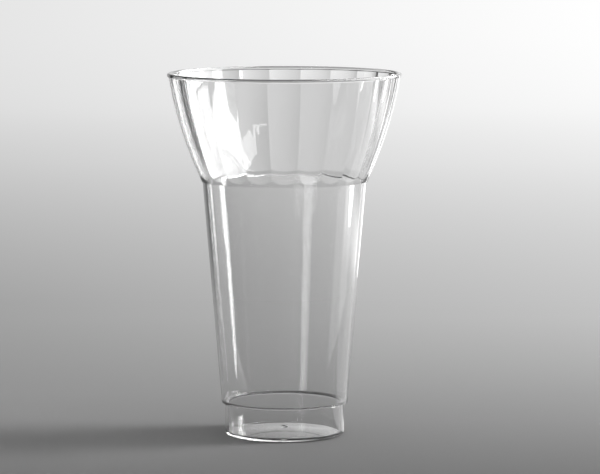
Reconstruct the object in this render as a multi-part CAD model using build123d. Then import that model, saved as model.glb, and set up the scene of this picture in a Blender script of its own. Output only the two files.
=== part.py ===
from build123d import *
import math
import os

# Parfait glass of clear moulded plastic, in millimetres.
# +Z is up, the origin is the middle of the ring it stands on.

# Heights above the table
overall_height = 136.0  # table to the top of the lip
neck_height = 95.6  # table to the ledge under the fluted bowl
foot_height = 12.1  # table to the ledge above the foot

# Lip
lip_diameter = 87.7  # widest size of the glass, over the lip
lip_height = 1.4  # plain ring above the flutes
lip_overhang = 0.5  # how far the lip stands out past the flutes
lip_rounding = 0.8  # radius on the edges a mouth touches
lip_lower_rounding = 0.4  # lower outer edge of the lip

# Fluted bowl
neck_diameter = 62.2  # over the lower edge of the plain collar
collar_height = 1.2  # neck ledge to where the crests leave the collar
collar_flare = 0.45  # how much the radius of the collar grows over that height
collar_reach = 4.8  # height of the collar's cone, past where the grooves cut into it
inner_kink = 0.3  # neck ledge to where the inside begins to bow
bowl_bulge = 1.3  # how far the wall bows out from a straight cone
bowl_wall = 0.8  # what is left behind a groove under the lip
flute_count = 22
first_flute_angle = -90  # degrees, so that one flute faces the front
flute_depth_top = 0.6  # crest to groove, near the lip
flute_depth_neck = 0.12  # crest to groove, at the top of the collar
flute_sections = 5  # level outlines the flutes are lofted through

# Tapered body
neck_ledge = 0.4  # how far the bowl overhangs the body
body_bottom_diameter = 47.3  # over the lower end of the body
body_wall = 1.3
body_edge_rounding = 0.4  # lower outer edge of the body
ledge_rise = 0.9  # how far the ledge inside the body slopes up to the wall
ledge_rounding = 0.3  # both corners of the ledge inside the body

# Foot
foot_ledge = 1.35  # how far the body overhangs the foot
foot_wall = 1.3
foot_edge_rounding = 1.3  # lower outer edge of the foot
floor_thickness = 0.8
floor_recess = 0.4  # underside of the floor above the table at its edge
floor_rise = 1.6  # how far the floor domes up in the middle
floor_fillet = 0.5  # inside corner between the floor and the wall
standing_ring_width = 0.6  # flat ring that touches the table

# Gate mark in the middle of the floor
gate_button_diameter = 2.6  # raised on the inside
gate_button_height = 0.6
gate_button_rounding = 0.4
gate_dimple_diameter = 3.0  # sunk in the underside
gate_dimple_depth = 0.3
gate_stub_diameter = 1.0  # broken-off stub left in the dimple
gate_stub_height = 0.25

# Welded seams, each a tongue in a groove in the thickness of the wall
tongue_height = 0.3
tongue_share = 1 / 3  # of the width of the seat it stands on
seam_clearance = 0.05  # round each tongue
ledge_cover = 0.1  # inner edge of the ledge above the top of its groove

# Radii and levels that follow from the sizes above
lip_radius = lip_diameter / 2
collar_radius = neck_diameter / 2
crest_top_radius = lip_radius - lip_overhang
collar_slope = collar_flare / collar_height
collar_top = neck_height + collar_height
flute_top = overall_height - lip_height
bowl_inner_top = crest_top_radius - flute_depth_top - bowl_wall
body_top_radius = collar_radius - neck_ledge
body_bottom_radius = body_bottom_diameter / 2
body_inner_top = body_top_radius - body_wall
foot_radius = body_bottom_radius - foot_ledge
foot_inner_radius = foot_radius - foot_wall
groove_depth = tongue_height + seam_clearance
floor_top = floor_recess + floor_thickness


def bowed_arc(lower, upper, bulge):
    """Centre and radius of the arc that bows outwards between two (radius, height) points."""
    chord = math.dist(lower, upper)
    arc_radius = (chord**2 / 4 + bulge**2) / (2 * bulge)
    outwards = ((upper[1] - lower[1]) / chord, (lower[0] - upper[0]) / chord)
    sink = arc_radius - bulge
    centre_radius = (lower[0] + upper[0]) / 2 - sink * outwards[0]
    centre_height = (lower[1] + upper[1]) / 2 - sink * outwards[1]
    return centre_radius, centre_height, arc_radius


def radius_on(arc, height):
    """Distance of a bowed arc from the axis of the glass at a height."""
    centre_radius, centre_height, arc_radius = arc
    return centre_radius + math.sqrt(arc_radius**2 - (height - centre_height) ** 2)


def crest_radius(height):
    """Radius over the crests of the flutes at a height on the bowl."""
    lower = (collar_radius + collar_flare, collar_top)
    upper = (crest_top_radius, flute_top)
    return radius_on(bowed_arc(lower, upper, bowl_bulge), height)


def bowl_inner_radius(height):
    """Radius of the smooth inside of the bowl: along the collar first, then bowed to the lip."""
    kink_height = neck_height + inner_kink
    if height <= kink_height:
        return body_inner_top + collar_slope * (height - neck_height)
    lower = (body_inner_top + collar_slope * inner_kink, kink_height)
    upper = (bowl_inner_top, overall_height)
    return radius_on(bowed_arc(lower, upper, bowl_bulge), height)


def flute_depth(height):
    """Depth of the grooves below the crests at a height on the bowl."""
    share = (height - collar_top) / (flute_top - collar_top)
    return flute_depth_neck + share * (flute_depth_top - flute_depth_neck)


def fluted_section(height):
    """Outline of the bowl at a height: one bulging arc for each flute."""
    pitch = 360 / flute_count
    crest = crest_radius(height)
    groove = crest - flute_depth(height)
    arcs = []
    for index in range(flute_count):
        middle = first_flute_angle + index * pitch
        start = Vector(groove, 0).rotate(Axis.Z, middle - pitch / 2)
        through = Vector(crest, 0).rotate(Axis.Z, middle)
        finish = Vector(groove, 0).rotate(Axis.Z, middle + pitch / 2)
        arcs.append(ThreePointArc(start, through, finish))
    return Pos(0, 0, height) * make_face(arcs)


def fluted_core():
    """Solid bowl with the flutes on its outside, lofted through evenly spaced level sections."""
    sections = []
    for step in range(flute_sections):
        share = step / (flute_sections - 1)
        sections.append(fluted_section(neck_height + share * (flute_top - neck_height)))
    return loft(sections)


def ring(inner_radius, outer_radius, bottom, top):
    """Plain ring about the axis between two levels."""
    profile = Pos((inner_radius + outer_radius) / 2, (bottom + top) / 2) * Rectangle(
        outer_radius - inner_radius, top - bottom
    )
    return revolve(Plane.XZ * profile, Axis.Z)


def seam_tongue(seat_inner, seat_outer, level, clearance=0):
    """Tongue in the middle of a seat, or its groove when a clearance is given."""
    middle = (seat_inner + seat_outer) / 2
    half_width = (seat_outer - seat_inner) * tongue_share / 2 + clearance
    top = level + tongue_height + clearance
    return ring(middle - half_width, middle + half_width, level, top)


def neck_seam(clearance=0):
    """Tongue or groove where the bowl sits on the body, clear of the bowl's flaring inside."""
    seat_inner = max(bowl_inner_radius(neck_height + groove_depth), body_inner_top)
    return seam_tongue(seat_inner, body_top_radius, neck_height, clearance)


def foot_seam(clearance=0):
    """Tongue or groove where the body sits on the foot."""
    return seam_tongue(foot_inner_radius, foot_radius, foot_height, clearance)


def bowl_cavity():
    """Smooth inside of the bowl, from the neck out through the mouth."""
    kink_height = neck_height + inner_kink
    kink = (bowl_inner_radius(kink_height), kink_height)
    upper = (bowl_inner_top, overall_height)
    middle_height = (kink_height + overall_height) / 2
    wall = ThreePointArc(kink, (bowl_inner_radius(middle_height), middle_height), upper)
    rest = Polyline(
        upper, (0, overall_height), (0, neck_height), (body_inner_top, neck_height), kink
    )
    return revolve(Plane.XZ * make_face([wall, rest]), Axis.Z)


def plain_collar():
    """Cone at the foot of the bowl, into which the flutes fade with scalloped ends."""
    cone = Cone(
        collar_radius,
        collar_radius + collar_slope * collar_reach,
        collar_reach,
        align=(Align.CENTER, Align.CENTER, Align.MIN),
    )
    return Pos(0, 0, neck_height) * cone


def plain_lip():
    """Ring round the mouth, with its lower edge rounded and no hole yet."""
    lip = ring(0, lip_radius, flute_top, overall_height)
    return fillet(lip.edges().sort_by(Axis.Z)[0], lip_lower_rounding)


def fluted_bowl():
    """Flared upper part: fluted outside, smooth inside, rounded lip and plain collar."""
    bowl = plain_collar() + fluted_core() + plain_lip() - bowl_cavity()
    bowl = fillet(bowl.edges().group_by(Axis.Z)[-1], lip_rounding)
    return bowl - neck_seam(seam_clearance)


def tapered_body():
    """Plain tapering tube, level underneath, with a ledge that slopes in to the foot's inside."""
    slope = (body_top_radius - body_bottom_radius) / (neck_height - foot_height)
    ledge_edge = (foot_inner_radius, foot_height + groove_depth + ledge_cover)
    ledge_top = ledge_edge[1] + ledge_rise
    ledge_root = (body_bottom_radius - body_wall + slope * (ledge_top - foot_height), ledge_top)
    profile = make_face(
        Polyline(
            (foot_inner_radius, foot_height),
            (body_bottom_radius, foot_height),
            (body_top_radius, neck_height),
            (body_inner_top, neck_height),
            ledge_root,
            ledge_edge,
            close=True,
        )
    )
    lower_edge = profile.vertices().sort_by_distance((body_bottom_radius, foot_height))[0]
    profile = fillet(lower_edge, body_edge_rounding)
    for corner in (ledge_root, ledge_edge):
        profile = fillet(profile.vertices().sort_by_distance(corner)[0], ledge_rounding)
    tube = revolve(Plane.XZ * profile, Axis.Z)
    return tube + neck_seam() - foot_seam(seam_clearance)


def foot_cup():
    """Short foot with a domed floor, standing on a flat ring, with the gate mark in the middle."""
    ring_inner = foot_radius - foot_edge_rounding - standing_ring_width
    underside_middle = floor_recess + floor_rise
    floor_middle = underside_middle + floor_thickness
    outline = Polyline(
        (0, floor_middle),
        (0, underside_middle),
    )
    underside = TangentArc(
        (0, underside_middle), (ring_inner - floor_recess, floor_recess), tangent=(1, 0)
    )
    shell = Polyline(
        (ring_inner - floor_recess, floor_recess),
        (ring_inner, 0),
        (foot_radius, 0),
        (foot_radius, foot_height),
        (foot_inner_radius, foot_height),
        (foot_inner_radius, floor_top),
    )
    inside = TangentArc((0, floor_middle), (foot_inner_radius, floor_top), tangent=(1, 0))
    profile = make_face([outline, underside, shell, inside])
    outer_edge = profile.vertices().sort_by_distance((foot_radius, 0))[0]
    profile = fillet(outer_edge, foot_edge_rounding)
    inner_corner = profile.vertices().sort_by_distance((foot_inner_radius, floor_top))[0]
    profile = fillet(inner_corner, floor_fillet)
    cup = revolve(Plane.XZ * profile, Axis.Z)
    return gate_mark(cup, underside_middle, floor_middle) + foot_seam()


def gate_mark(cup, underside_middle, floor_middle):
    """The cup with a button inside, a dimple below it and the broken stub in the dimple."""
    button_top = floor_middle + gate_button_height
    button = ring(0, gate_button_diameter / 2, underside_middle + gate_dimple_depth, button_top)
    button = fillet(button.edges().sort_by(Axis.Z)[-1], gate_button_rounding)
    dimple_top = underside_middle + gate_dimple_depth
    dimple = ring(0, gate_dimple_diameter / 2, 0, dimple_top)
    stub = ring(0, gate_stub_diameter / 2, dimple_top - gate_stub_height, dimple_top)
    return cup + button - dimple + stub


os.makedirs("parts", exist_ok=True)
export_step(fluted_bowl(), "parts/fluted_bowl.step")
export_step(tapered_body(), "parts/tapered_body.step")
export_step(foot_cup(), "parts/foot_cup.step")
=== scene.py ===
import math

import bmesh
import bpy
from bpy.props import FloatProperty, IntProperty, PointerProperty, StringProperty
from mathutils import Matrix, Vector


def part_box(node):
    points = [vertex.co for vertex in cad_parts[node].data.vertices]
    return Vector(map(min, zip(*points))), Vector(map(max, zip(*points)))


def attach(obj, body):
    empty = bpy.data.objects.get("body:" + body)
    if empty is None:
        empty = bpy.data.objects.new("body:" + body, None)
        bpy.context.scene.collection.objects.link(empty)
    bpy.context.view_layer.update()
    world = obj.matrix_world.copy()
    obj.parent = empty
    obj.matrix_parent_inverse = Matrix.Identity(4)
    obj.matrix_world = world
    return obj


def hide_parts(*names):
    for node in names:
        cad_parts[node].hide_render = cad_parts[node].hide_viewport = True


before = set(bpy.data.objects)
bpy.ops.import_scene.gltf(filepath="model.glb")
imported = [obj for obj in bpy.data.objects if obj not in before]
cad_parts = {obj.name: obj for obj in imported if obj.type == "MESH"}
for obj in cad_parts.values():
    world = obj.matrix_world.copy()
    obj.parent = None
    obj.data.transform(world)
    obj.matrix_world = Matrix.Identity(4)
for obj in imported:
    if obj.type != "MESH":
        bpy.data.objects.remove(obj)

bl_info = {
    "name": "Parfait glass",
    "version": (1, 0, 0),
    "blender": (4, 5, 0),
    "location": "3D View > Sidebar > Parfait",
    "description": "Dresses the packed parfait glass in clear moulded plastic, in a small studio",
    "category": "Object",
}

MM = 0.001

# How finely the meshes are divided
COLLAR_ROWS = 50
FLUTE_ROWS = 32
BOWL_INNER_ROWS = 40
STEPS_PER_FLUTE = 16
BODY_ROWS = 24
BODY_STEPS = 288
FLOOR_ROWS = 16
FOOT_WALL_ROWS = 6
FOOT_STEPS = 256
CORNER_SEGMENTS = 6
PAPER_CURVE_STEPS = 24
MERGE_DISTANCE = 0.001 * MM

# An edge that turns more than this stays sharp, and an edge this near to a groove, in flutes, lies in it
CREASE = math.radians(30)
GROOVE_SHARE = 0.01

# Noise values between which a polished surface turns into a scuffed one, and how fine the patterns are
SCUFF_START = 0.5
SCUFF_FULL = 0.8
SCUFF_DETAIL = 4.0
FLOW_DETAIL = 1.0

# Paper sweep, in metres. It lies a hair below the foot, so that no two faces share a place
PAPER_SIDE = 4.0
PAPER_FRONT = 3.0
PAPER_BACK = 1.7
PAPER_CURVE = 0.9
PAPER_WALL = 2.0
PAPER_DROP = 0.05 * MM
PAPER_ROUGHNESS = 0.9

# Painted light falloff on the paper: its shade by distance behind the glass, in metres, grey by the glass and
# near white at the back
PAINTED_FALLOFF_SHADES = {
    -0.2: "#696969",
    -0.08: "#797979",
    0.03: "#8d8d8d",
    0.34: "#b1b1b1",
    1.2: "#dbdbdb",
    2.0: "#f2f2f2",
    2.6: "#fafafa",
}
NEAR = min(PAINTED_FALLOFF_SHADES)
FAR = max(PAINTED_FALLOFF_SHADES)

# Painted light from the right: the paper gets paler to the right, by the slope of a line from a pivot in
# front of the glass, in metres, and more so where it is seen in the glass
TILT_PIVOT = 0.35
TILT_LEAST = -0.5
TILT_MOST = 0.3
TILT_IN_GLASS = 0.8

# Distances behind the glass between which the paper goes from shaded by the lamps to a painted glow of its
# shade, which stands in for lamp light
PAINTED_GLOW_START = 0.1
PAINTED_GLOW_FULL = 0.4

# Painted pool of light on the paper on the right, which glows with no lamp and is seen only as a reflection
# off the glass, each span from where it starts to where it is full. The sides are bearings from straight
# behind the glass, in radians, and the others are distances from its axis, in metres
SWATH_BACK_SIDE = (0.6, 0.85)
SWATH_FRONT_SIDE = (1.52, 1.42)
SWATH_END = (0.6, 0.45)
SWATH_BRIGHTER = (0.3, 0.42)
SWATH_GAIN = 2.4

# Lamps point at this height on the axis, and stand this far from it unless they say otherwise, in metres
LAMP_AIM = 0.07
LAMP_DISTANCE = 0.9

# Camera at the photograph's viewing angle: place in metres, dip in degrees, lens and sensor in millimetres
CAMERA_PLACE = (0.00578, -1.3241, 0.2153)
CAMERA_DIP = 6.074
CAMERA_LENS = 213.34
CAMERA_SENSOR = 36

# Light meets many walls on its way through the glass
BOUNCES = 24
GLOSSY_BOUNCES = 8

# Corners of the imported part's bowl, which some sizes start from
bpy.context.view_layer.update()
bowl_low, bowl_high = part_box("fluted_bowl")


def length(name, description, default):
    """A length that a user may change, in metres."""
    return FloatProperty(name=name, description=description, default=default, precision=5, unit="LENGTH")


class GlassSizes(bpy.types.PropertyGroup):
    """Sizes of the glass."""

    overall_height: length("Overall height", "Table to the top of the lip", bowl_high.z)
    neck_height: length("Neck height", "Table to the neck, where the bowl begins to flare", bowl_low.z)
    foot_height: length("Foot height", "Table to the underside of the body", 12.1 * MM)
    lip_radius: length("Lip radius", "Axis to the outside of the lip", -bowl_low.x)
    lip_height: length("Lip height", "Height of the plain ring above the flutes", 1.4 * MM)
    lip_overhang: length("Lip overhang", "How far the lip stands out past the flutes", 0.5 * MM)
    lip_rounding: length("Lip rounding", "Radius on the edges a mouth touches", 0.8 * MM)
    lip_lower_rounding: length("Lip lower rounding", "Radius on the lower edge of the lip", 0.4 * MM)
    neck_ledge: length("Neck ledge", "How far the bowl overhangs the body", 0.4 * MM)
    collar_height: length("Collar height", "Plain cone at the neck, up to the crests of the flutes", 1.2 * MM)
    collar_flare: length("Collar flare", "How far the plain cone opens over its height", 0.45 * MM)
    collar_reach: length("Collar reach", "Height of the plain cone, past where the grooves cut it", 4.8 * MM)
    inner_kink: length("Inner kink", "Neck to where the inside leaves the plain cone", 0.3 * MM)
    bowl_bulge: length("Bowl bulge", "How far the bowl bows out from a cone", 1.3 * MM)
    bowl_wall: length("Bowl wall", "Plastic left behind a groove", 0.8 * MM)
    flute_count: IntProperty(name="Flutes", description="Bulging flutes round the bowl", default=22, min=3)
    flute_depth_top: length("Flute depth at the lip", "Crest to groove under the lip", 0.6 * MM)
    flute_depth_neck: length("Flute depth at the neck", "Crest to groove above the neck", 0.12 * MM)
    body_top_radius: length("Body top radius", "Axis to the outside under the neck", 30.7 * MM)
    body_bottom_radius: length("Body bottom radius", "Axis to the lower end of the body", 23.65 * MM)
    body_wall: length("Body wall", "Thickness of the tapered wall", 1.3 * MM)
    body_edge_rounding: length("Body edge rounding", "Radius on the lower outer edge of the body", 0.4 * MM)
    ledge_bottom: length("Ledge bottom", "Table to the lower end of the sloping ledge inside", 12.7 * MM)
    ledge_top: length("Ledge top", "Table to the upper end of the sloping ledge inside", 13.1 * MM)
    ledge_rounding: length("Ledge rounding", "Radius on both edges of the ledge inside", 0.2 * MM)
    foot_radius: length("Foot radius", "Axis to the outside of the foot", 22.3 * MM)
    foot_wall: length("Foot wall", "Thickness of the foot's wall", 1.3 * MM)
    foot_edge_rounding: length("Foot edge rounding", "Radius on the lower outer edge", 1.3 * MM)
    floor_thickness: length("Floor thickness", "Plastic in the domed floor", 0.8 * MM)
    floor_recess: length("Floor recess", "Edge of the floor's underside above the table", 0.4 * MM)
    floor_rise: length("Floor rise", "How far the floor domes up", 1.6 * MM)
    floor_fillet: length("Floor fillet", "Radius between the floor and the wall", 0.5 * MM)
    ring_width: length("Standing ring", "Width of the flat ring on the table", 0.6 * MM)
    gate_button_radius: length("Gate button", "Radius of the button inside", 1.3 * MM)
    gate_button_height: length("Gate button height", "Height of the button inside", 0.6 * MM)
    gate_button_rounding: length("Gate button rounding", "Radius on the button's edge", 0.58 * MM)
    gate_dimple_radius: length("Gate dimple", "Radius of the dimple below", 1.5 * MM)
    gate_dimple_depth: length("Gate dimple depth", "Depth of the dimple below", 0.3 * MM)
    gate_stub_radius: length("Gate stub", "Radius of the stub left in the dimple", 0.5 * MM)
    gate_stub_height: length("Gate stub height", "Height of the stub", 0.25 * MM)
    seam_gap: length("Seam gap", "Air between two pieces that meet", 0.02 * MM)


class GlassFinish(bpy.types.PropertyGroup):
    """Colour and surface of the plastic."""

    tint: StringProperty(name="Tint", description="Colour of the plastic, sRGB hex", default="#f8f8f8")
    refraction: FloatProperty(name="IOR", description="Index of refraction of polystyrene", default=1.59)
    polish: FloatProperty(name="Polish", description="Roughness where the mould was polished", default=0.0)
    scuff: FloatProperty(name="Scuff", description="Roughness where handling rubbed it", default=0.04)
    scuff_size: length("Scuff size", "Width of a scuffed patch", 9 * MM)
    wave_length: length("Wave length", "Distance between the slow waves in the wall", 20 * MM)
    wave_depth: length("Wave depth", "Height of the slow waves", 0.005 * MM)
    flow_spacing: length("Flow spacing", "Distance between flow lines round the foot", 1.6 * MM)
    flow_depth: length("Flow depth", "Height of the flow lines round the foot", 0.008 * MM)


class Studio(bpy.types.PropertyGroup):
    """Lamps and paper, each as bright as it looks, where 1 is white."""

    key: FloatProperty(name="Key", description="Umbrella on the right, as the bowl shows it", default=7.0)
    panel: FloatProperty(name="Panel", description="The key as the body and foot show it", default=10.0)
    key_light: FloatProperty(name="Key light", description="What the umbrella gives the paper", default=26.0)
    stand: FloatProperty(name="Stand", description="Bright stand under the umbrella", default=8.0)
    rim: FloatProperty(name="Rim", description="Tall softbox behind on the right", default=2.5)
    window: FloatProperty(name="Window", description="Window high on the right of the camera", default=6.0)
    # Brightness of the painted pool of light on the paper, a glow with no lamp
    swath: FloatProperty(name="Swath", description="Lit paper that the glass mirrors", default=1.15)
    fill: FloatProperty(name="Fill", description="Softbox behind on the left", default=0.8)
    card: FloatProperty(name="Card", description="Low white card on the left", default=0.8)
    strip: FloatProperty(name="Strip", description="Softbox on the left of the camera", default=1.7)
    room: FloatProperty(name="Room light", description="Even light that falls on things", default=0.62)
    walls: FloatProperty(name="Room walls", description="What is seen of the room", default=0.11)


def linear(code):
    """Linear colour, with alpha, of an sRGB hex code."""
    shares = [int(code[place:place + 2], 16) / 255 for place in (1, 3, 5)]
    return [s / 12.92 if s <= 0.04045 else ((s + 0.055) / 1.055) ** 2.4 for s in shares] + [1.0]


def add_node(tree, kind, inputs=None, **settings):
    """Adds a node with its settings and its inputs, each of them a value or a socket to link from."""
    made = tree.nodes.new(kind)
    for name, value in settings.items():
        setattr(made, name, value)
    for name, given in (inputs or {}).items():
        if isinstance(given, bpy.types.NodeSocket):
            tree.links.new(given, made.inputs[name])
        else:
            made.inputs[name].default_value = given
    return made


def clear_polystyrene(finish):
    """Crystal polystyrene, injection moulded in a polished steel mould.

    It is water clear and bends light more than glass does, so edges and ledges draw bold dark and bright
    lines. It was fed at the gate, so fine flow lines fan out over the floor and run up the walls, the cooling
    left a slow wave, and handling left scuffed patches that dull the shine a little.
    """
    material = bpy.data.materials.get("moulded_crystal_polystyrene")
    if material:
        return material
    material = bpy.data.materials.new("moulded_crystal_polystyrene")
    material.use_nodes = True
    tree = material.node_tree
    shader = tree.nodes["Principled BSDF"]
    shader.inputs["Base Color"].default_value = linear(finish.tint)
    shader.inputs["IOR"].default_value = finish.refraction
    shader.inputs["Transmission Weight"].default_value = 1.0
    place = add_node(tree, "ShaderNodeTexCoord").outputs["Object"]
    foot_radius = bpy.context.scene.glass_sizes.foot_radius

    # Flow lines keep their bearing from the gate and get deeper as they spread
    across = add_node(tree, "ShaderNodeVectorMath", {0: place, 1: (1, 1, 0)}, operation="MULTIPLY")
    bearing = add_node(tree, "ShaderNodeVectorMath", {0: across.outputs["Vector"]}, operation="NORMALIZE")
    reach = add_node(tree, "ShaderNodeVectorMath", {0: across.outputs["Vector"]}, operation="LENGTH")
    flow_scale = foot_radius / finish.flow_spacing
    lines = add_node(
        tree, "ShaderNodeTexNoise",
        {"Vector": bearing.outputs["Vector"], "Scale": flow_scale, "Detail": FLOW_DETAIL},
    )
    spread = add_node(
        tree, "ShaderNodeMath", {0: lines.outputs["Fac"], 1: reach.outputs["Value"]}, operation="MULTIPLY"
    )

    # The slow wave is added to them, and the bump is measured in its depth
    wave_scale = 1 / finish.wave_length
    wave = add_node(tree, "ShaderNodeTexNoise", {"Vector": place, "Scale": wave_scale, "Detail": 0.0})
    flow_share = finish.flow_depth / foot_radius / finish.wave_depth
    surface = add_node(
        tree, "ShaderNodeMath", {0: spread.outputs[0], 1: flow_share, 2: wave.outputs["Fac"]},
        operation="MULTIPLY_ADD",
    )
    bump = add_node(tree, "ShaderNodeBump", {"Height": surface.outputs[0], "Distance": finish.wave_depth})
    tree.links.new(bump.outputs["Normal"], shader.inputs["Normal"])

    # Scuffs come and go in patches
    scuff_scale = 1 / finish.scuff_size
    scuffs = add_node(
        tree, "ShaderNodeTexNoise", {"Vector": place, "Scale": scuff_scale, "Detail": SCUFF_DETAIL}
    )
    dull = add_node(
        tree, "ShaderNodeMapRange",
        {
            "Value": scuffs.outputs["Fac"], "From Min": SCUFF_START, "From Max": SCUFF_FULL,
            "To Min": finish.polish, "To Max": finish.scuff,
        },
    )
    tree.links.new(dull.outputs["Result"], shader.inputs["Roughness"])
    return material


def wire_profile(points, closed, layer=None):
    """A bmesh with a wire through (radius, height) points in the XZ plane, and its vertices in order.

    A layer is a number kept on each vertex, and has to be there before the vertices are.
    """
    profile = bmesh.new()
    if layer:
        profile.verts.layers.float.new(layer)
    corners = [profile.verts.new((radius, 0, height)) for radius, height in points]
    for start, end in zip(corners, corners[1:]):
        profile.edges.new((start, end))
    if closed:
        profile.edges.new((corners[-1], corners[0]))
    return profile, corners


def round_off(profile, corner, radius):
    """Rounds one corner of a wire profile to a radius."""
    first, second = [edge.other_vert(corner).co - corner.co for edge in corner.link_edges]
    reach = radius / math.tan(first.angle(second) / 2)
    bmesh.ops.bevel(
        profile, geom=[corner], offset=reach, offset_type="OFFSET", affect="VERTICES",
        segments=CORNER_SEGMENTS, profile=0.5, material=-1,
    )


def spin_profile(profile, steps):
    """Turns a wire profile once round the axis of the glass and closes it."""
    wire = list(profile.verts) + list(profile.edges)
    bmesh.ops.spin(
        profile, geom=wire, cent=(0, 0, 0), axis=(0, 0, 1), angle=math.tau, steps=steps, use_merge=True
    )
    bmesh.ops.remove_doubles(profile, verts=profile.verts, dist=MERGE_DISTANCE)


def finish_piece(name, mesh_data, node, finish):
    """Makes a smooth piece of a closed bmesh, which stands for a CAD node."""
    bmesh.ops.recalc_face_normals(mesh_data, faces=mesh_data.faces)
    for face in mesh_data.faces:
        face.smooth = True
    for edge in mesh_data.edges:
        if edge.calc_face_angle(0) > CREASE:
            edge.smooth = False
    mesh = bpy.data.meshes.new(name)
    mesh_data.to_mesh(mesh)
    mesh_data.free()
    mesh.materials.append(clear_polystyrene(finish))
    piece = bpy.data.objects.new(name, mesh)
    bpy.context.scene.collection.objects.link(piece)
    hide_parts(node)
    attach(piece, "root")


def bowed_radius(height, lower, upper, bulge):
    """Radius at a height on the arc that bows outwards between two (radius, height) points."""
    chord = math.dist(lower, upper)
    arc = (chord**2 / 4 + bulge**2) / (2 * bulge)
    sink = arc - bulge
    centre_radius = (lower[0] + upper[0]) / 2 - sink * (upper[1] - lower[1]) / chord
    centre_height = (lower[1] + upper[1]) / 2 - sink * (lower[0] - upper[0]) / chord
    return centre_radius + math.sqrt(arc**2 - (height - centre_height) ** 2)


def domed_height(radius, middle, edge_radius, rise):
    """Height at a radius on a dome that drops by rise from the middle to its edge."""
    ball = (edge_radius**2 + rise**2) / (2 * rise)
    return middle - ball + math.sqrt(ball**2 - radius**2)


def levels(start, end, count):
    """Evenly spaced values from start to end, both included."""
    return [start + (end - start) * step / (count - 1) for step in range(count)]


class PARFAIT_OT_fluted_bowl(bpy.types.Operator):
    """Model the flared bowl with its bulging flutes and lip"""

    bl_idname = "parfait.fluted_bowl"
    bl_label = "Fluted bowl"

    def execute(self, context):
        size = context.scene.glass_sizes
        collar_top = size.neck_height + size.collar_height
        reach_top = size.neck_height + size.collar_reach
        flute_top = size.overall_height - size.lip_height
        rows = levels(size.neck_height, reach_top, COLLAR_ROWS)[:-1]
        rows += levels(reach_top, flute_top, FLUTE_ROWS)
        points = self.profile_points(size, rows, collar_top, flute_top)
        bowl, corners = wire_profile(points, closed=True, layer="groove_depth")
        depth = bowl.verts.layers.float["groove_depth"]
        for corner, height in zip(corners, rows):
            share = (height - collar_top) / (flute_top - collar_top)
            corner[depth] = size.flute_depth_neck + share * (size.flute_depth_top - size.flute_depth_neck)
        lip = len(rows)
        rounded = [(corners[lip], size.lip_lower_rounding)]
        rounded += [(corner, size.lip_rounding) for corner in corners[lip + 1:lip + 3]]
        for corner, radius in rounded:
            round_off(bowl, corner, radius)
        spin_profile(bowl, size.flute_count * STEPS_PER_FLUTE)
        self.press_flutes(bowl, depth, size)
        finish_piece("fluted_bowl_clear", bowl, "fluted_bowl", context.scene.glass_finish)
        return {"FINISHED"}

    def profile_points(self, size, rows, collar_top, flute_top):
        """Points up the crests of the flutes, round the lip and down the inside to the neck."""
        crest_low = (size.body_top_radius + size.neck_ledge + size.collar_flare, collar_top)
        crest_high = (size.lip_radius - size.lip_overhang, flute_top)
        slope = size.collar_flare / size.collar_height
        neck_inside = size.body_top_radius - size.body_wall
        inner_low = (neck_inside + slope * size.inner_kink, size.neck_height + size.inner_kink)
        inner_high = (crest_high[0] - size.flute_depth_top - size.bowl_wall, size.overall_height)
        inner_rows = levels(size.overall_height - 2 * size.lip_rounding, inner_low[1], BOWL_INNER_ROWS)
        points = [(bowed_radius(z, crest_low, crest_high, size.bowl_bulge), z) for z in rows]
        points += [(size.lip_radius, flute_top), (size.lip_radius, size.overall_height), inner_high]
        points += [(bowed_radius(z, inner_low, inner_high, size.bowl_bulge), z) for z in inner_rows]
        points.append((neck_inside, size.neck_height))
        return points

    def press_flutes(self, bowl, depth, size):
        """Sinks the wall between the crests, deepest along the grooves, but not past the plain cone."""
        pitch = math.tau / size.flute_count
        collar = size.body_top_radius + size.neck_ledge
        slope = size.collar_flare / size.collar_height
        for vert in bowl.verts:
            if vert[depth] > 0:
                share = (math.atan2(vert.co.y, vert.co.x) / pitch) % 1.0
                radius = math.hypot(vert.co.x, vert.co.y)
                across = 2 * share - 1
                height = vert.co.z - size.neck_height
                plain = collar + slope * height if height < size.collar_reach else 0
                vert.co.xy *= max(radius - vert[depth] * across**2, plain) / radius
        for edge in bowl.edges:
            ends = edge.verts
            if all(end[depth] > 0 for end in ends):
                turns = [math.atan2(end.co.y, end.co.x) / pitch for end in ends]
                if all(abs(turn - round(turn)) < GROOVE_SHARE for turn in turns):
                    edge.smooth = False


class PARFAIT_OT_tapered_body(bpy.types.Operator):
    """Model the plain tapering body with its sloping ledge inside"""

    bl_idname = "parfait.tapered_body"
    bl_label = "Tapered body"

    def execute(self, context):
        size = context.scene.glass_sizes
        top = size.neck_height - size.seam_gap
        slope = (size.body_top_radius - size.body_bottom_radius) / (size.neck_height - size.foot_height)
        foot_inner = size.foot_radius - size.foot_wall

        def outside(height):
            return size.body_bottom_radius + slope * (height - size.foot_height)

        outer_rows = levels(size.foot_height + 2 * size.body_edge_rounding, top, BODY_ROWS)
        inner_rows = levels(top, size.ledge_top + 2 * size.ledge_rounding, BODY_ROWS)
        points = [(foot_inner, size.foot_height), (size.body_bottom_radius, size.foot_height)]
        points += [(outside(z), z) for z in outer_rows]
        points += [(outside(z) - size.body_wall, z) for z in inner_rows]
        points.append((outside(size.ledge_top) - size.body_wall, size.ledge_top))
        points.append((foot_inner, size.ledge_bottom))
        body, corners = wire_profile(points, closed=True)
        round_off(body, corners[1], size.body_edge_rounding)
        for corner in corners[-2:]:
            round_off(body, corner, size.ledge_rounding)
        spin_profile(body, BODY_STEPS)
        finish_piece("tapered_body_clear", body, "tapered_body", context.scene.glass_finish)
        return {"FINISHED"}


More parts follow.
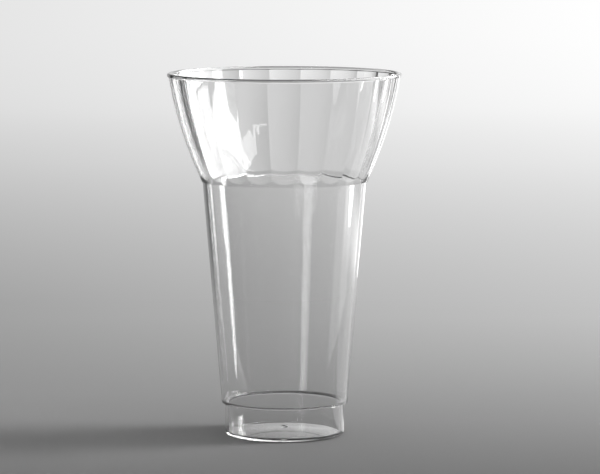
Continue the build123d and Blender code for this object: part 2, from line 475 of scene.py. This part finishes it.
class PARFAIT_OT_foot_cup(bpy.types.Operator):
    """Model the foot with its domed floor and gate mark"""

    bl_idname = "parfait.foot_cup"
    bl_label = "Foot"

    def execute(self, context):
        size = context.scene.glass_sizes
        inner = size.foot_radius - size.foot_wall
        ring_inner = size.foot_radius - size.foot_edge_rounding - size.ring_width
        dome_edge = ring_inner - size.floor_recess
        under_middle = size.floor_recess + size.floor_rise
        floor_middle = under_middle + size.floor_thickness
        floor_edge = floor_middle - size.floor_rise
        dimple_top = under_middle + size.gate_dimple_depth
        stub_end = dimple_top - size.gate_stub_height
        button_top = floor_middle + size.gate_button_height
        top = size.foot_height - size.seam_gap

        # From the stub of the gate out over the underside, up the wall, and in over the floor to the button
        points = [(0, stub_end), (size.gate_stub_radius, stub_end)]
        points += [(size.gate_stub_radius, dimple_top), (size.gate_dimple_radius, dimple_top)]
        for radius in levels(size.gate_dimple_radius, dome_edge, FLOOR_ROWS):
            points.append((radius, domed_height(radius, under_middle, dome_edge, size.floor_rise)))
        points.append((ring_inner, 0))
        edge_at = len(points)
        points.append((size.foot_radius, 0))
        points += [(size.foot_radius, z) for z in levels(2 * size.foot_edge_rounding, top, FOOT_WALL_ROWS)]
        points += [(inner, z) for z in levels(top, floor_edge + 2 * size.floor_fillet, FOOT_WALL_ROWS)]
        fillet_at = len(points)
        points.append((inner, floor_edge))
        for radius in levels(inner - 2 * size.floor_fillet, size.gate_button_radius, FLOOR_ROWS):
            points.append((radius, domed_height(radius, floor_middle, inner, size.floor_rise)))
        button_at = len(points)
        points += [(size.gate_button_radius, button_top), (0, button_top)]

        foot, corners = wire_profile(points, closed=False)
        roundings = {
            edge_at: size.foot_edge_rounding,
            fillet_at: size.floor_fillet,
            button_at: size.gate_button_rounding,
        }
        for place, radius in roundings.items():
            round_off(foot, corners[place], radius)
        spin_profile(foot, FOOT_STEPS)
        finish_piece("foot_cup_clear", foot, "foot_cup", context.scene.glass_finish)
        return {"FINISHED"}


class PARFAIT_OT_studio(bpy.types.Operator):
    """Set up the paper sweep, the lamps and the camera"""

    bl_idname = "parfait.studio"
    bl_label = "Studio"

    def execute(self, context):
        scene = context.scene
        self.paper_sweep(scene)
        self.lamps(scene)
        self.room_light(scene)
        self.camera(scene)
        scene.view_settings.view_transform = "Standard"
        scene.cycles.max_bounces = BOUNCES
        scene.cycles.transmission_bounces = BOUNCES
        scene.cycles.glossy_bounces = GLOSSY_BOUNCES
        return {"FINISHED"}

    def paper_sweep(self, scene):
        """Matt paper that runs flat under the glass and curves up far behind it."""
        sheet = bmesh.new()
        front = [sheet.verts.new((x, -PAPER_FRONT, -PAPER_DROP)) for x in (-PAPER_SIDE, PAPER_SIDE)]
        floor = bmesh.ops.extrude_edge_only(sheet, edges=[sheet.edges.new(front)])["geom"]
        ends = [part for part in floor if isinstance(part, bmesh.types.BMVert)]
        bmesh.ops.translate(sheet, verts=ends, vec=(0, PAPER_FRONT + PAPER_BACK, 0))
        floor_edges = [part for part in floor if isinstance(part, bmesh.types.BMEdge)]
        back = [edge for edge in floor_edges if all(vert in ends for vert in edge.verts)]
        curve = bmesh.ops.spin(
            sheet, geom=back + ends, cent=(0, PAPER_BACK, PAPER_CURVE), axis=(1, 0, 0), angle=math.pi / 2,
            steps=PAPER_CURVE_STEPS,
        )["geom_last"]
        risers = [part for part in curve if isinstance(part, bmesh.types.BMEdge)]
        wall = bmesh.ops.extrude_edge_only(sheet, edges=risers)["geom"]
        tops = [part for part in wall if isinstance(part, bmesh.types.BMVert)]
        bmesh.ops.translate(sheet, verts=tops, vec=(0, 0, PAPER_WALL))
        bmesh.ops.recalc_face_normals(sheet, faces=sheet.faces)
        for face in sheet.faces:
            face.smooth = True
        mesh = bpy.data.meshes.new("paper_sweep")
        sheet.to_mesh(mesh)
        sheet.free()
        mesh.materials.append(self.graded_paper(scene.studio))
        sweep = bpy.data.objects.new("paper_sweep", mesh)
        scene.collection.objects.link(sweep)

    def graded_paper(self, studio):
        """Matt backdrop paper with painted light falloff, grey by the glass and near white at the back,
        painted a little paler to the right.

        Round the glass the lamps shade it, so the shadow shows. Farther back, where it is seen, it glows with
        its painted shade in place of lamp light.
        """
        material = bpy.data.materials.new("matt_graded_paper")
        material.use_nodes = True
        tree = material.node_tree
        shader = tree.nodes["Principled BSDF"]
        shader.inputs["Roughness"].default_value = PAPER_ROUGHNESS
        shader.inputs["Specular IOR Level"].default_value = 0.0
        place = add_node(tree, "ShaderNodeTexCoord").outputs["Object"]
        axes = add_node(tree, "ShaderNodeSeparateXYZ", {"Vector": place}).outputs
        # Painted light falloff, used both as the colour the lamps light and as the colour of the painted glow
        shade = self.painted_falloff(tree, axes["Y"])
        tree.links.new(shade, shader.inputs["Base Color"])
        # Painted glow: the paper shows its painted shade as light, with no lamp
        painted_glow_shader = self.painted_glow(tree, axes, shade)
        far = add_node(
            tree, "ShaderNodeMapRange",
            {"Value": axes["Y"], "From Min": PAINTED_GLOW_START, "From Max": PAINTED_GLOW_FULL},
        )
        share = add_node(
            tree, "ShaderNodeMath", {0: self.seen(tree), 1: far.outputs["Result"]}, operation="MULTIPLY"
        )
        plain = add_node(
            tree, "ShaderNodeMixShader", {0: share.outputs[0], 1: shader.outputs["BSDF"], 2: painted_glow_shader}
        )
        paper = self.painted_light_swath(tree, place, axes, plain.outputs["Shader"], studio.swath)
        tree.links.new(paper, tree.nodes["Material Output"].inputs["Surface"])
        return material

    def painted_falloff(self, tree, distance):
        """Colour socket with the paper's painted light falloff, its shade by distance behind the glass."""
        along = add_node(tree, "ShaderNodeMapRange", {"Value": distance, "From Min": NEAR, "From Max": FAR})
        ramp = add_node(tree, "ShaderNodeValToRGB", {"Fac": along.outputs["Result"]})
        stops = ramp.color_ramp.elements
        # New stops start in the middle and get their places below
        while len(stops) < len(PAINTED_FALLOFF_SHADES):
            stops.new(0.5)
        for stop, (behind, shade) in zip(stops, PAINTED_FALLOFF_SHADES.items()):
            stop.position = (behind - NEAR) / (FAR - NEAR)
            stop.color = linear(shade)
        return ramp.outputs["Color"]

    def painted_glow(self, tree, axes, shade):
        """Shader socket with a painted glow of the paper's shade, painted darker on the left and paler on the
        right, more so in the glass.
        """
        reach = add_node(tree, "ShaderNodeMath", {0: axes["Y"], 1: TILT_PIVOT}, operation="ADD")
        bearing = add_node(tree, "ShaderNodeMath", {0: axes["X"], 1: reach.outputs[0]}, operation="DIVIDE")
        aside = add_node(
            tree, "ShaderNodeClamp", {"Value": bearing.outputs[0], "Min": TILT_LEAST, "Max": TILT_MOST}
        )
        strength = add_node(
            # The painted light is stronger where the glass shows the paper
            tree, "ShaderNodeMath", {0: self.glass_rays(tree, "ADD"), 1: TILT_IN_GLASS, 2: 1.0},
            operation="MULTIPLY_ADD",
        )
        tilt = add_node(
            tree, "ShaderNodeMath", {0: aside.outputs["Result"], 1: strength.outputs[0], 2: 1.0},
            operation="MULTIPLY_ADD",
        )
        colour = add_node(
            tree, "ShaderNodeVectorMath", {"Vector": shade, "Scale": tilt.outputs[0]}, operation="SCALE"
        )
        return add_node(tree, "ShaderNodeEmission", {"Color": colour.outputs["Vector"]}).outputs["Emission"]

    def painted_light_swath(self, tree, place, axes, paper, brightness):
        """Shader socket of the paper with a painted pool of light, a glow with no lamp that is seen only as a
        reflection off the glass.
        """
        distance = add_node(tree, "ShaderNodeVectorMath", {0: place}, operation="LENGTH").outputs["Value"]
        turn = add_node(tree, "ShaderNodeMath", {0: axes["X"], 1: axes["Y"]}, operation="ARCTAN2")
        bearing = turn.outputs[0]
        near, far = SWATH_BRIGHTER
        glow = add_node(
            tree, "ShaderNodeMapRange",
            {
                "Value": distance, "From Min": near, "From Max": far,
                "To Min": brightness, "To Max": SWATH_GAIN * brightness,
            },
            interpolation_type="SMOOTHSTEP",
        )
        # Painted light: the swath glows with no lamp, brighter farther from the glass
        swath = add_node(tree, "ShaderNodeEmission", {"Strength": glow.outputs["Result"]})
        lit = self.glass_rays(tree, "SUBTRACT")
        edges = [(bearing, SWATH_BACK_SIDE), (bearing, SWATH_FRONT_SIDE), (distance, SWATH_END)]
        for measure, (start, full) in edges:
            edge = add_node(
                tree, "ShaderNodeMapRange", {"Value": measure, "From Min": start, "From Max": full},
                interpolation_type="SMOOTHSTEP",
            )
            shares = {0: lit, 1: edge.outputs["Result"]}
            lit = add_node(tree, "ShaderNodeMath", shares, operation="MULTIPLY").outputs[0]
        both = add_node(tree, "ShaderNodeMixShader", {0: lit, 1: paper, 2: swath.outputs["Emission"]})
        return both.outputs["Shader"]

    def glass_rays(self, tree, operation):
        """Socket that joins the two marks that the glass leaves on a ray, held between 0 and 1.

        Added, they are 1 for all that is seen in or through the glass. A ray through the glass has both
        marks, so subtracted they are 1 only for what the outside of the glass mirrors.
        """
        path = add_node(tree, "ShaderNodeLightPath").outputs
        marks = {0: path["Is Glossy Ray"], 1: path["Is Transmission Ray"]}
        return add_node(tree, "ShaderNodeMath", marks, operation=operation, use_clamp=True).outputs[0]

    def seen(self, tree):
        """Socket that is 1 for what is looked at, directly or in the glass, and 0 for light on things."""
        path = add_node(tree, "ShaderNodeLightPath").outputs
        marks = {0: self.glass_rays(tree, "ADD"), 1: path["Is Camera Ray"]}
        return add_node(tree, "ShaderNodeMath", marks, operation="ADD", use_clamp=True).outputs[0]

    def lamps(self, scene):
        """The key and rim lights with their stands, a window, and a fill, a card and a strip on the left.

        One lamp lights the paper and is not seen. The others are only seen in the glass.
        """
        studio = scene.studio
        key_light = self.softbox(
            scene, "key_light", "DISK", studio.key_light, bearing=81, lift=18, width=0.5, height=0.5,
            distance=1.1,
        )
        key_light.visible_glossy = False
        key_light.visible_transmission = False
        umbrella = self.softbox(
            scene, "key_umbrella", "DISK", studio.key, bearing=67, lift=38.6, width=1.45, height=1.45
        )
        shapes = [
            umbrella,
            self.softbox(
                scene, "key_stand", "ELLIPSE", studio.stand, bearing=71, lift=-2.7, width=0.07, height=0.1,
                distance=0.42,
            ),
            self.softbox(
                scene, "rim_softbox", "RECTANGLE", studio.rim, bearing=28, lift=8, width=0.05, height=0.42
            ),
            self.softbox(
                scene, "rim_stand", "ELLIPSE", studio.rim, bearing=22, lift=-2.7, width=0.03, height=0.1,
                distance=0.42,
            ),
            self.softbox(
                scene, "window", "RECTANGLE", studio.window, bearing=124, lift=36, width=0.14, height=0.13
            ),
            self.softbox(
                scene, "fill_softbox", "RECTANGLE", studio.fill, bearing=294, lift=22, width=0.6, height=0.24
            ),
            self.softbox(
                scene, "low_card", "RECTANGLE", studio.card, bearing=292, lift=-1, width=0.7, height=0.12
            ),
            self.softbox(
                scene, "strip_softbox", "RECTANGLE", studio.strip, bearing=217.5, lift=3.66, width=0.21,
                height=0.245,
            ),
        ]
        # The panel stands a little nearer than the umbrella, so that the two share no place
        panel = self.softbox(
            scene, "key_panel", "ELLIPSE", studio.panel, bearing=67, lift=38.6, width=0.45, height=1.45,
            distance=0.88,
        )
        for shape in shapes + [panel]:
            shape.visible_diffuse = False
        self.show_in(umbrella, ["fluted_bowl_clear"])
        self.show_in(panel, ["tapered_body_clear", "foot_cup_clear"])

    def softbox(self, scene, name, shape, brightness, bearing, lift, width, height, distance=LAMP_DISTANCE):
        """A soft lamp that faces the glass, at a bearing clockwise from straight behind it, in degrees."""
        lamp = bpy.data.lights.new(name, "AREA")
        lamp.shape = shape
        lamp.size = width
        lamp.size_y = height
        area = width * height * (1 if shape == "RECTANGLE" else math.pi / 4)
        lamp.energy = brightness * math.pi * area
        turn = math.radians(bearing)
        rise = math.radians(lift)
        away = Vector((math.cos(rise) * math.sin(turn), math.cos(rise) * math.cos(turn), math.sin(rise)))
        holder = bpy.data.objects.new(name, lamp)
        holder.location = Vector((0, 0, LAMP_AIM)) + distance * away
        holder.rotation_euler = (-away).to_track_quat("-Z", "Y").to_euler()
        holder.visible_camera = False
        scene.collection.objects.link(holder)
        return holder

    def show_in(self, lamp, names):
        """Lets a lamp show in some pieces only."""
        group = bpy.data.collections.new(f"{lamp.name}_pieces")
        for name in names:
            group.objects.link(bpy.data.objects[name])
        lamp.light_linking.receiver_collection = group

    def room_light(self, scene):
        """Even light from all round, while what is seen of the room stays dim."""
        world = bpy.data.worlds.new("studio_room")
        scene.world = world
        world.use_nodes = True
        tree = world.node_tree
        white = linear("#ffffff")
        light = tree.nodes["Background"]
        light.inputs["Color"].default_value = white
        light.inputs["Strength"].default_value = scene.studio.room
        walls = add_node(tree, "ShaderNodeBackground", {"Color": white, "Strength": scene.studio.walls})
        room = add_node(
            tree, "ShaderNodeMixShader",
            {0: self.seen(tree), 1: light.outputs["Background"], 2: walls.outputs["Background"]},
        )
        tree.links.new(room.outputs["Shader"], tree.nodes["World Output"].inputs["Surface"])

    def camera(self, scene):
        """A long lens a little above the rim, at the photograph's viewing angle."""
        lens = bpy.data.cameras.new("camera")
        lens.lens = CAMERA_LENS
        lens.sensor_width = CAMERA_SENSOR
        camera = bpy.data.objects.new("camera", lens)
        camera.location = CAMERA_PLACE
        camera.rotation_euler = (math.radians(90 - CAMERA_DIP), 0, 0)
        scene.collection.objects.link(camera)
        scene.camera = camera


class PARFAIT_PT_panel(bpy.types.Panel):
    """Lists the pieces of the glass and the studio"""

    bl_idname = "PARFAIT_PT_panel"
    bl_label = "Parfait glass"
    bl_space_type = "VIEW_3D"
    bl_region_type = "UI"
    bl_category = "Parfait"

    def draw(self, context):
        for operator in OPERATORS:
            self.layout.operator(operator.bl_idname)


GROUPS = {"glass_sizes": GlassSizes, "glass_finish": GlassFinish, "studio": Studio}
OPERATORS = [PARFAIT_OT_fluted_bowl, PARFAIT_OT_tapered_body, PARFAIT_OT_foot_cup, PARFAIT_OT_studio]


def register():
    for name, group in GROUPS.items():
        bpy.utils.register_class(group)
        setattr(bpy.types.Scene, name, PointerProperty(type=group))
    for operator in OPERATORS:
        bpy.utils.register_class(operator)
    bpy.utils.register_class(PARFAIT_PT_panel)


def unregister():
    bpy.utils.unregister_class(PARFAIT_PT_panel)
    for operator in reversed(OPERATORS):
        bpy.utils.unregister_class(operator)
    for name, group in reversed(GROUPS.items()):
        delattr(bpy.types.Scene, name)
        bpy.utils.unregister_class(group)


def main():
    register()
    bpy.ops.parfait.fluted_bowl()
    bpy.ops.parfait.tapered_body()
    bpy.ops.parfait.foot_cup()
    bpy.ops.parfait.studio()


if __name__ == "__main__":
    main()
